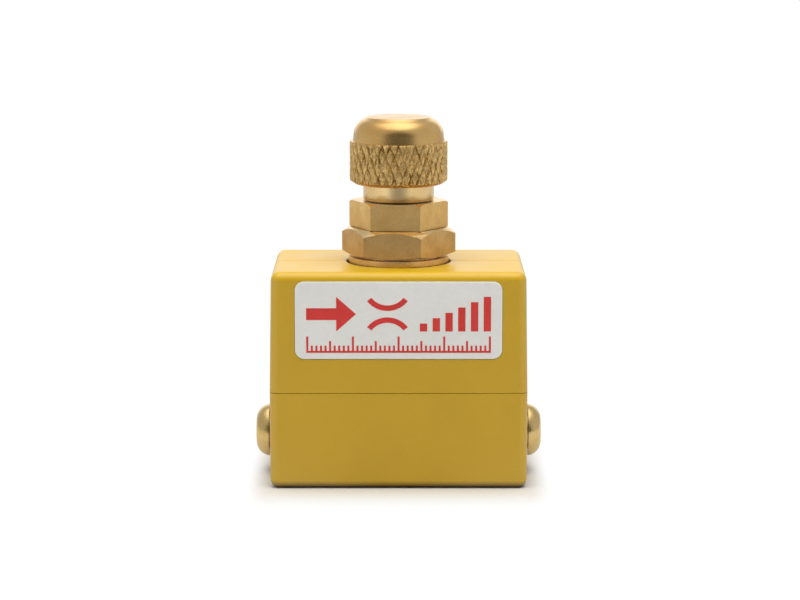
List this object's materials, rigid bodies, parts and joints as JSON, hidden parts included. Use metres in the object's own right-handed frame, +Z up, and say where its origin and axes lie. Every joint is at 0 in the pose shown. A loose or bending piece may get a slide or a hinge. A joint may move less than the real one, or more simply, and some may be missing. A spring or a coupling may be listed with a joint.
{
  "type": "flow control valve",
  "caption": "Inline needle valve: a yellow split housing with a push-in tube port on each side and a knurled brass knob that screws the needle up and down.",
  "frame": {"origin": "centre of the base, on the surface that the valve stands on", "axes": "+Z up along the needle's axis; -Y is the front, with the label; -X and +X are the two tube ports"},
  "size_m": [0.0636, 0.036, 0.0798],
  "materials": {
    "housing_paint": "satin yellow powder coat on a die casting",
    "machined_brass": "turned and milled, satin with fine tool marks",
    "knurled_brass": "crossed knurling under a smooth dome",
    "stainless_steel": "ground",
    "zinc_steel": "zinc plated",
    "label_film": null,
    "packing_polymer": "plain white fluoropolymer",
    "spacer_plastic": "plain dark grey",
    "seal_rubber": "plain black"
  },
  "bodies": {
    "housing": {"valve_body": "housing_paint", "front_cover": "housing_paint", "rear_cover": "housing_paint", "label_plate": "label_film", "bonnet": "machined_brass", "bonnet_o_ring": "seal_rubber", "packing_ring_1": "packing_polymer", "packing_ring_2": "packing_polymer", "packing_ring_3": "packing_polymer", "packing_follower": "machined_brass", "packing_nut": "machined_brass", "seat_insert": "stainless_steel", "seat_o_ring": "seal_rubber", "housing_screw_front_left": "zinc_steel", "housing_screw_front_right": "zinc_steel", "housing_screw_rear_left": "zinc_steel", "housing_screw_rear_right": "zinc_steel", "threaded_insert_front_left": "machined_brass", "threaded_insert_front_right": "machined_brass", "threaded_insert_rear_left": "machined_brass", "threaded_insert_rear_right": "machined_brass", "port_sleeve_left": "machined_brass", "port_sleeve_right": "machined_brass", "grab_ring_left": "stainless_steel", "grab_ring_right": "stainless_steel", "spacer_ring_left": "spacer_plastic", "spacer_ring_right": "spacer_plastic", "tube_o_ring_left": "seal_rubber", "tube_o_ring_right": "seal_rubber"},
    "needle": {"needle_tip": "stainless_steel", "needle_o_ring": "seal_rubber"},
    "knob": {"adjusting_knob": "knurled_brass", "stem": "stainless_steel", "knob_set_screw": "stainless_steel"},
    "left_collar": {"release_collar_left": "machined_brass"},
    "right_collar": {"release_collar_right": "machined_brass"}
  },
  "joints": [
    {"name": "needle_lift", "type": "slide", "parent": "housing", "child": "needle", "axis": [0, 0, 1], "range_m": [0, 0.004]},
    {"name": "knob_turn", "type": "hinge", "parent": "needle", "child": "knob", "pos_m": [0, 0, 0.0682], "axis": [0, 0, 1], "range_deg": [0, 1800]},
    {"name": "left_collar_press", "type": "slide", "parent": "housing", "child": "left_collar", "axis": [1, 0, 0], "range_m": [0, 0.0006], "stiffness_N_per_m": 2000, "springref_m": -0.0005},
    {"name": "right_collar_press", "type": "slide", "parent": "housing", "child": "right_collar", "axis": [-1, 0, 0], "range_m": [0, 0.0006], "stiffness_N_per_m": 2000, "springref_m": -0.0005}
  ],
  "couplings": [
    {"joint": "knob_turn", "follows": "needle_lift", "rad_per_m": 7854}
  ]
}
